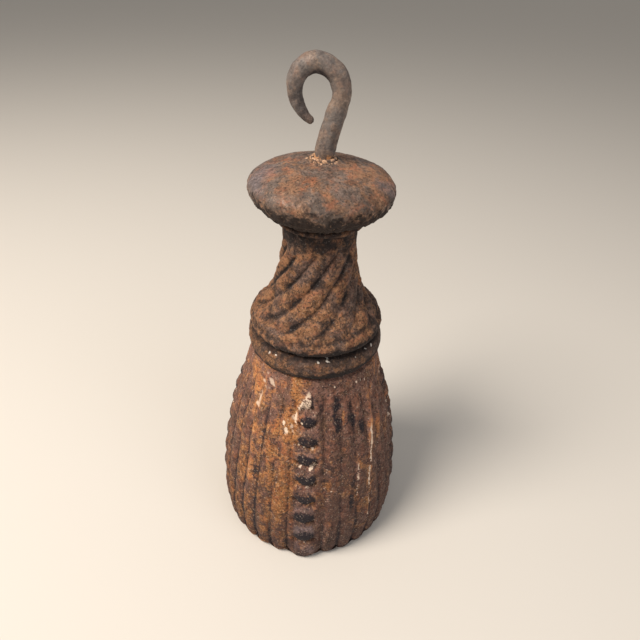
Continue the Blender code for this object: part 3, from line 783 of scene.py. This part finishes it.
def neck_casting(material):
    foot = foot_of("twisted_neck")
    top = top_of("twisted_neck")
    under = [(26.4, foot), (28.2, foot + 0.4)]
    outline = spline([(NECK_TOP_RADIUS, top), *reversed(NECK_OUTLINE), *reversed(under)], 16)
    outside = evenly(outline, NECK_ROWS)
    inside = [(BOLT_HOLE, foot), *reversed(NECK_INSIDE), (NECK_INSIDE[0][0], top)]
    skin, normals, shown = turned_skin(outside, inside, NECK_STEPS)
    flat = skin.reshape(-1, 3)
    shown = shown.ravel()
    height = flat[:, 2]
    angle = np.arctan2(flat[:, 1], flat[:, 0])
    turn = angle - neck_twist(height, TWIST_FOOT, top) + noise(flat, 12.0, 300) * math.radians(2.2)
    groove = 1 - np.abs(np.sin(0.5 * FLUTES * turn)) ** 0.75
    fade = (0.2 + 0.8 * smooth(height, foot + 7.0, foot + 12.0)) * smooth(height, foot + 4.0, foot + 8.0)
    fade *= 1 - smooth(height, top - 13.0, top - 4.0)
    fade *= 1 - 0.45 * smooth(flat[:, 0], 4.0, 16.0) * smooth(-flat[:, 1], 0.0, 8.0)
    fade *= 0.75 + 0.25 * smooth(noise(flat, 16.0, 301), -0.4, 0.2)
    roll_groove = np.exp(-(((height - foot - 7.2 + 1.6 * np.sin(2 * angle)) / 1.5) ** 2))
    depth = FLUTE_DEPTH * groove * fade + 0.8 * roll_groove * (1 - smooth(height, foot + 9.0, foot + 12.0))
    lift, tone = rust_relief(flat, 0.4, 0.36, 0.45, 0.25, 310)
    move = (np.minimum(lift, 0.5) - 0.4 - depth) * shown
    skin = pushed(flat, normals, move)
    lateral = sideways(flat)
    stain = 0.7 * smooth(groove, 0.25, 0.85) * fade + 0.45 * smooth(noise(flat, 8.0, 302), 0.1, 0.5)
    torn = noise(flat, 6.0, 303) + 0.9 * noise(flat, 2.6, 304) + 0.5 * noise(flat, 1.3, 305)
    # painted shade: darker at the foot, by the crack above the ring, and more so on the right
    ragged_edge = height + torn - 1.4 * smooth(lateral, -0.1, 0.4)
    stain = np.maximum(stain, smooth(ragged_edge, foot + 4.6, foot + 1.2))
    stain = np.maximum(stain, 0.55 * roll_groove)
    # painted shade: the top of the neck darkened under the cap
    stain = np.maximum(stain, smooth(height, top - 14.0, top - 2.0) * 0.75)
    warmth = 0.5 - 0.2 * lateral + 0.35 * noise(flat, 14.0, 320)
    warmth = warmth + 0.3 * (1 - smooth(groove, 0.1, 0.6)) * fade - 0.1
    chips = spots(flat, 4.5, 0.25, 330) * smooth(height, foot + 4.0, foot + 1.0)
    chips = chips * smooth(noise(flat, 8.0, 331), 0.1, 0.4)
    return skin_piece(
        "neck_casting", skin, NECK_STEPS, material, warmth=warmth, stain=stain, pale=chips, tone=tone
    )


def moulding_casting(material):
    bottom = foot_of("neck_moulding")
    top = top_of("neck_moulding")
    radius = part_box("neck_moulding")[1].x / MM
    rim = half_round(radius, radius - MOULDING_ROUNDING, bottom, top, MOULDING_ROWS)
    outside = [(radius - MOULDING_HIDDEN, top), *rim, (radius - MOULDING_HIDDEN, bottom)]
    inside = [(NECK_INSIDE[0][0], bottom), (NECK_INSIDE[0][0], top)]
    skin, normals, shown = turned_skin(outside, inside, MOULDING_STEPS)
    flat = skin.reshape(-1, 3)
    shown = shown.ravel() * smooth(from_axis(flat), radius - MOULDING_HIDDEN, radius - MOULDING_ROUNDING)
    lift, tone = rust_relief(flat, 0.3, 0.16, 0.3, 0.1, 400)
    move = (np.minimum(lift, 0.3) - 0.2) * shown
    skin = pushed(flat, normals, move)
    warmth = 0.25 + 0.25 * noise(flat, 12.0, 410)
    stain = np.full(len(flat), 0.6)
    pale = np.zeros(len(flat))
    return skin_piece(
        "moulding_casting", skin, MOULDING_STEPS, material, warmth=warmth, stain=stain, pale=pale, tone=tone
    )


# ---------------------------------------------------------------- cap, bush and hook

def cap_outline(radius):
    """The bun's outline from the rim of the bush's hole, over the equator and down to the moulding."""
    start = math.acos((BUSH_HOLE / radius) ** (1 / CAP_UPPER_POWER))
    sweep = np.linspace(start, 0, 60)
    across = radius * np.cos(sweep) ** CAP_UPPER_POWER
    upper = np.stack([across, CAP_EQUATOR + (CAP_TOP - CAP_EQUATOR) * np.sin(sweep)], axis=1)
    lower = spline([(radius, CAP_EQUATOR), *CAP_UNDERSIDE], 12)[1:]
    return evenly([*upper, *lower], CAP_ROWS)


def cap_casting(material):
    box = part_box("cap")
    radius = box[1].x / MM
    spigot_foot = box[0].z / MM
    outside = cap_outline(radius)
    inside = [
        (SPIGOT_RADIUS, CAP_FOOT), (SPIGOT_RADIUS, spigot_foot), (SPIGOT_BORE, spigot_foot),
        (SPIGOT_BORE, SPIGOT_ROOF), (BUSH_HOLE, SPIGOT_ROOF),
    ]
    skin, normals, shown = turned_skin(outside, inside, CAP_STEPS)
    flat = skin.reshape(-1, 3)
    height = flat[:, 2]
    across = from_axis(flat)
    shown = shown.ravel() * smooth(across, BUSH_HOLE, BUSH_HOLE + 2.0)
    lift, tone = rust_relief(flat, 0.55, 0.18, 0.3, 0.12, 500)
    rough_low = 1 - smooth(height, CAP_EQUATOR - 5.0, CAP_EQUATOR + 3.0)
    knocks = spots(flat, 7.0, 0.35, 510) * 0.35
    grit = 0.3 * noise(flat, 2.2, 560) + 0.3 * noise(flat, 1.2, 561)
    move = (np.minimum(lift * (1 + 0.8 * rough_low) + grit * rough_low, 0.5) - 0.45 - knocks) * shown
    skin = pushed(flat, normals, move)
    crust = smooth(across + 1.3 * noise(flat, 3.0, 520), 7.0, 6.2) * smooth(height, 190.0, 191.5) * 0.6
    lateral = flat[:, 0] / radius
    warmth = 0.42 + 0.2 * lateral + 0.55 * noise(flat, 15.0, 530) + 0.2 * rough_low
    low_left = 0.3 * smooth(height, 187.0, 184.0) * smooth(-lateral, 0.0, 0.5)
    warmth += low_left - 0.25 * smooth(height, 188.0, 193.0)
    crumbs = 2.0 * noise(flat, 5.0, 532) + 2.2 * noise(flat, 2.4, 533) + 1.6 * noise(flat, 1.2, 534)
    # painted shade on the underside below the equator, its edge broken up by crumbs of crust
    stain = smooth(height + 1.5 * crumbs, CAP_EQUATOR + 2.5, CAP_EQUATOR - 5.5)
    stain = np.maximum(stain, 0.35 * smooth(noise(flat, 12.0, 531), 0.1, 0.6))
    front_side = -flat[:, 1] / np.maximum(across, 1.0)
    tone = tone - 0.15 + 0.6 * grit * rough_low
    # painted shade: darker across the front at mid height; painted light: lighter on the upper right
    tone = tone - 0.3 * smooth(height, 190.5, 187.0) * smooth(front_side, 0.2, 0.8)
    tone += 0.3 * smooth(lateral, 0.15, 0.45) * smooth(height, 187.5, 190.5)
    pale = np.maximum(crust, spots(flat, 4.0, 0.2, 540) * smooth(noise(flat, 12.0, 541), 0.25, 0.6) * 0.5)
    band = smooth(height, CAP_EQUATOR - 7.0, CAP_EQUATOR - 3.0)
    band = band * smooth(height, CAP_EQUATOR + 3.0, CAP_EQUATOR)
    pale = np.maximum(pale, 0.75 * spots(flat, 1.7, 0.4, 542) * band)
    # painted reflection: a grey-violet sheen on the upper left; the same grey-violet tints patches on the right
    bloom = smooth(-lateral, 0.35, 0.85) * smooth(height, 183.0, 187.0)
    bloom = bloom * smooth(noise(flat, 10.0, 550), -0.6, 0.3)
    bloom = np.maximum(bloom, 0.6 * smooth(noise(flat, 13.0, 551), 0.1, 0.5) * smooth(lateral, 0.2, 0.7))
    return skin_piece(
        "cap_casting", skin, CAP_STEPS, material, warmth=warmth, stain=stain, pale=pale, tone=tone, bloom=bloom
    )


def bush_crust(material):
    """The bush's proud end, swollen and ragged with pale scale."""
    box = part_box("hook_bush")
    top = box[1].z / MM
    foot = box[0].z / MM
    radius = box[1].x / MM
    corners = [
        (ROD_HOLE, top - 0.2), (ROD_HOLE + 0.5, top), (radius - 0.3, top - 0.1), (radius, top - 0.6),
        (radius, top - 2.0),
    ]
    outside = evenly(corners, 22)
    inside = [(radius, foot), (ROD_HOLE, foot), (ROD_HOLE, top - 2.0)]
    skin, normals, shown = turned_skin(outside, inside, BUSH_STEPS)
    flat = skin.reshape(-1, 3)
    ragged = 0.35 * fractal(flat, 2.0, 3, 600) - 0.15
    above = smooth(flat[:, 2], top - 1.6, top - 0.6) * shown.ravel()
    across = from_axis(flat)
    above *= smooth(across, ROD_HOLE, ROD_HOLE + 0.4)
    skin = pushed(flat, normals, ragged * above)
    skin[:, 2] = np.minimum(skin[:, 2], top)
    warmth = np.full(len(flat), 0.3)
    stain = np.zeros(len(flat))
    tone = 0.6 + 0.5 * noise(flat, 1.8, 610)
    pale = np.clip(tone, 0, 1)
    return skin_piece("bush_crust", skin, BUSH_STEPS, material, warmth=warmth, stain=stain, pale=pale, tone=tone)


def hook_rod(material):
    """The forged rod swept from its upset head inside the cap, up and round to the drawn-out tip."""
    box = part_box("hook")
    head_foot = box[0].z / MM
    bend = evenly(spline(HOOK_ROUTE, 12), 230)
    head_top = head_foot + HEAD_HEIGHT
    stem = [
        (0, head_foot, 0.4), (0, head_foot, HEAD_RADIUS), (0, head_top, HEAD_RADIUS),
        (0, head_top + 0.2, SHANK_RADIUS), (0, SHANK_TOP, SHANK_RADIUS),
    ]
    route = np.array([*stem, *bend])
    middle = np.stack([route[:, 0], np.zeros(len(route)), route[:, 1]], axis=1)
    tangent = np.gradient(middle, axis=0)
    tangent[: len(stem)] = (0, 0, 1)
    tangent /= np.linalg.norm(tangent, axis=1)[:, None]
    side = np.array((0.0, 1.0, 0.0))
    out = np.cross(side, tangent)
    angle = np.arange(HOOK_STEPS) * 2 * math.pi / HOOK_STEPS
    tip = np.arange(len(route)) - (len(route) - 1)
    rounding = np.sqrt(np.clip(1 - np.clip(1 + tip / 4, 0, 1) ** 2, 0.02, 1))
    radius = (route[:, 2] * rounding)[:, None, None]
    ring = np.cos(angle)[None, :, None] * out[:, None, :] + np.sin(angle)[None, :, None] * side
    points = (middle[:, None, :] + radius * ring).reshape(-1, 3)
    normals = ring.reshape(-1, 3)
    bent = smooth(points[:, 2], 195.5, 198.0)
    hammer = noise(points, 5.0, 700) * 0.22 + noise(points, 2.2, 701) * 0.1 + noise(points, 1.1, 702) * 0.05
    pit = spots(points, 2.4, 0.3, 703)
    move = (hammer - 0.2 * pit - 0.12) * bent
    points = pushed(points, normals, np.minimum(move, HAMMER_RISE))
    rows = len(route)
    index = np.arange(rows * HOOK_STEPS).reshape(rows, HOOK_STEPS)
    after = np.roll(index, -1, axis=1)
    quads = np.stack([index[:-1], after[:-1], after[1:], index[1:]], axis=-1).reshape(-1, 4)
    faces = [*quads.tolist(), index[0][::-1].tolist(), index[-1].tolist()]
    mesh = mesh_of("hook_rod", points, faces)
    warmth = 0.35 + 0.3 * noise(points, 8.0, 710)
    # painted shade: darker inside the bend, where the surface faces down
    inner = smooth(normals[:, 2], -0.2, -0.8) * smooth(points[:, 2], 215.0, 220.0)
    tip_side = smooth(-points[:, 0], 4.0, 9.0) * smooth(points[:, 2], 224.0, 217.0)
    stain = np.clip(0.14 + 0.22 * noise(points, 6.0, 711) + 0.6 * inner + 0.3 * tip_side, 0, 1)
    pale = smooth(points[:, 2] + noise(points, 2.0, 712), 196.5, 194.6) * 0.7
    tone = 0.5 + 1.2 * hammer - 0.4 * pit
    attributes = {"warmth": warmth, "stain": stain, "pale": pale, "tone": tone}
    return piece("hook_rod", mesh, attributes, material)


# ---------------------------------------------------------------- base plate

def base_cover(material):
    """The plate in the body's mouth, with the well that the nut sits in."""
    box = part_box("base_plate")
    bottom = box[0].z / MM
    radius = box[1].x / MM
    well = WELL_RADIUS
    roof = bottom + WELL_DEPTH
    well_top = box[1].z / MM
    outer_well = well + (well_top - roof)
    plate_top = bottom + PLATE_THICKNESS
    face = evenly([(radius - 0.6, bottom), (well + 0.5, bottom), (well, bottom + 0.5), (well, roof)], 60)
    outside = [(radius, bottom + 0.6), *face]
    inside = [
        (BOLT_HOLE, roof), (BOLT_HOLE, well_top), (outer_well, well_top), (outer_well, plate_top),
        (radius, plate_top),
    ]
    skin, normals, shown = turned_skin(outside, inside, BASE_STEPS)
    flat = skin.reshape(-1, 3)
    across = from_axis(flat)
    shown = shown.ravel() * smooth(radius - across, 0.2, 1.5) * smooth(roof - flat[:, 2], 0.0, 2.0)
    lift, tone = rust_relief(flat, 0.25, 0.16, 0.4, 0.12, 800)
    move = (np.minimum(lift, 0.3) - 0.3) * shown
    skin = pushed(flat, normals, move)
    warmth = 0.3 + 0.4 * noise(flat, 16.0, 810)
    stain = np.clip(smooth(radius - across, 2.5, 0.0) * 0.7 + smooth(across, well + 2.0, well) * 0.6, 0, 1)
    pale = np.zeros(len(flat))
    return skin_piece("base_cover", skin, BASE_STEPS, material, warmth=warmth, stain=stain, pale=pale, tone=tone)


# ---------------------------------------------------------------- camera, floor and light

def camera():
    data = bpy.data.cameras.new("camera")
    data.lens = CAMERA_LENS
    data.sensor_width = CAMERA_SENSOR
    data.clip_start = 0.01
    obj = add_object("camera", data)
    level = math.cos(CAMERA_PITCH)
    ahead = Vector((math.sin(CAMERA_YAW) * level, math.cos(CAMERA_YAW) * level, -math.sin(CAMERA_PITCH)))
    right = Vector((math.cos(CAMERA_YAW), -math.sin(CAMERA_YAW), 0))
    up = right.cross(ahead)
    rolled_right = math.cos(CAMERA_ROLL) * right + math.sin(CAMERA_ROLL) * up
    rolled_up = -math.sin(CAMERA_ROLL) * right + math.cos(CAMERA_ROLL) * up
    turn = Matrix((rolled_right, rolled_up, -ahead)).transposed().to_4x4()
    place = Matrix.Translation((0, -CAMERA_DISTANCE, CAMERA_HEIGHT)) @ turn
    obj.matrix_world = Matrix.Rotation(CAMERA_AZIMUTH, 4, "Z") @ place
    bpy.context.scene.camera = obj


def area_light(name, place, size, power, tint, target):
    data = bpy.data.lights.new(name, "AREA")
    data.shape = "DISK"
    data.size = size
    data.energy = power
    data.color = tint
    obj = add_object(name, data)
    obj.location = place
    obj.rotation_euler = (Vector(target) - Vector(place)).to_track_quat("-Z", "Y").to_euler()


def floor():
    n = Nodes("pale_floor")
    n.shader.inputs["Base Color"].default_value = (0.70, 0.66, 0.61, 1.0)
    n.shader.inputs["Roughness"].default_value = 0.9
    n.shader.inputs["Specular IOR Level"].default_value = 0.1
    side = FLOOR_HALF_SIDE
    corners = [(-side, -side, 0), (side, -side, 0), (side, side, 0), (-side, side, 0)]
    mesh = bpy.data.meshes.new("floor")
    mesh.from_pydata(corners, [], [(0, 1, 2, 3)])
    mesh.materials.append(n.material)
    obj = add_object("floor", mesh)


def studio():
    scene = bpy.context.scene
    scene.view_settings.view_transform = "Standard"
    world = bpy.data.worlds.new("studio")
    world.use_nodes = True
    background = world.node_tree.nodes["Background"]
    background.inputs["Color"].default_value = (0.93, 0.90, 0.86, 1.0)
    background.inputs["Strength"].default_value = 0.34
    scene.world = world
    middle = (0, 0, 0.1)
    area_light("key", (-0.58, -0.35, 0.95), size=0.55, power=15.5, tint=(1.0, 0.92, 0.82), target=middle)
    area_light("fill", (0.7, -0.6, 0.6), size=0.8, power=2.5, tint=(0.92, 0.95, 1.0), target=middle)


# ---------------------------------------------------------------- assembly

BODY_RUST = rust(
    "body_rust",
    warm=colour(158, 105, 62), cool=colour(106, 76, 66),
    blush=colour(140, 80, 52), deep=colour(86, 64, 50),
    ochre=colour(200, 156, 108), dark=colour(34, 30, 36),
    pale=colour(222, 198, 176), bloom=colour(134, 120, 124),
    grain=1.25, tall=1.5, speckle=0.42,
)
NECK_RUST = rust(
    "neck_rust",
    warm=colour(124, 87, 60), cool=colour(88, 69, 61),
    blush=colour(128, 80, 56), deep=colour(64, 50, 42),
    ochre=colour(170, 128, 92), dark=colour(32, 27, 27),
    pale=colour(206, 196, 186), bloom=colour(110, 96, 94),
)
CAP_RUST = rust(
    "cap_rust",
    warm=colour(130, 95, 72), cool=colour(110, 95, 87),
    blush=colour(148, 92, 66), deep=colour(86, 71, 62),
    ochre=colour(152, 120, 94), dark=colour(34, 25, 22),
    pale=colour(200, 160, 128), bloom=colour(114, 105, 110),
    roughness=(0.42, 0.7), grain=0.7, speckle=0.2, contrast=0.85,
)
HOOK_IRON = rust(
    "forged_rust",
    warm=colour(122, 104, 92), cool=colour(106, 98, 94),
    blush=colour(114, 92, 82), deep=colour(88, 78, 74),
    ochre=colour(150, 130, 116), dark=colour(52, 46, 48),
    pale=colour(206, 156, 112), bloom=colour(110, 104, 106),
    roughness=(0.45, 0.7), grain=0.6, speckle=0.08, contrast=0.45,
)
STEEL = plain_metal("dull_steel", colour(128, 118, 108), colour(84, 62, 48), 0.5, 0.75, 6.0)
LEAD = plain_metal("cast_lead", colour(112, 114, 120), colour(74, 76, 82), 0.62, 0.6, 9.0)

# (piece, CAD node it stands for, body it rides on, material slot)
PIECES = [
    (ribbed_casting(BODY_RUST), "ribbed_body", "weight", "body_rust"),
    (base_cover(NECK_RUST), "base_plate", "weight", "dark_iron"),
    (ring_casting(NECK_RUST), "collar_ring", "weight", "dark_iron"),
    (neck_casting(NECK_RUST), "twisted_neck", "weight", "neck_rust"),
    (moulding_casting(NECK_RUST), "neck_moulding", "weight", "dark_iron"),
    (cap_casting(CAP_RUST), "cap", "weight", "cap_rust"),
    (bush_crust(CAP_RUST), "hook_bush", "weight", "pale_scale"),
    (hook_rod(HOOK_IRON), "hook", "hook", "forged_iron"),
]
for item, node, body, slot in PIECES:
    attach(item, body)
    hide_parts(node)

for node, finish in (
    ("lead_ballast", LEAD), ("tie_bolt", STEEL), ("bolt_washer", STEEL), ("nut_washer", STEEL),
    ("tie_nut", STEEL), ("hook_washer", STEEL),
):
    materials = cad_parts[node].data.materials
    materials.clear()
    materials.append(finish)

camera()
floor()
studio()
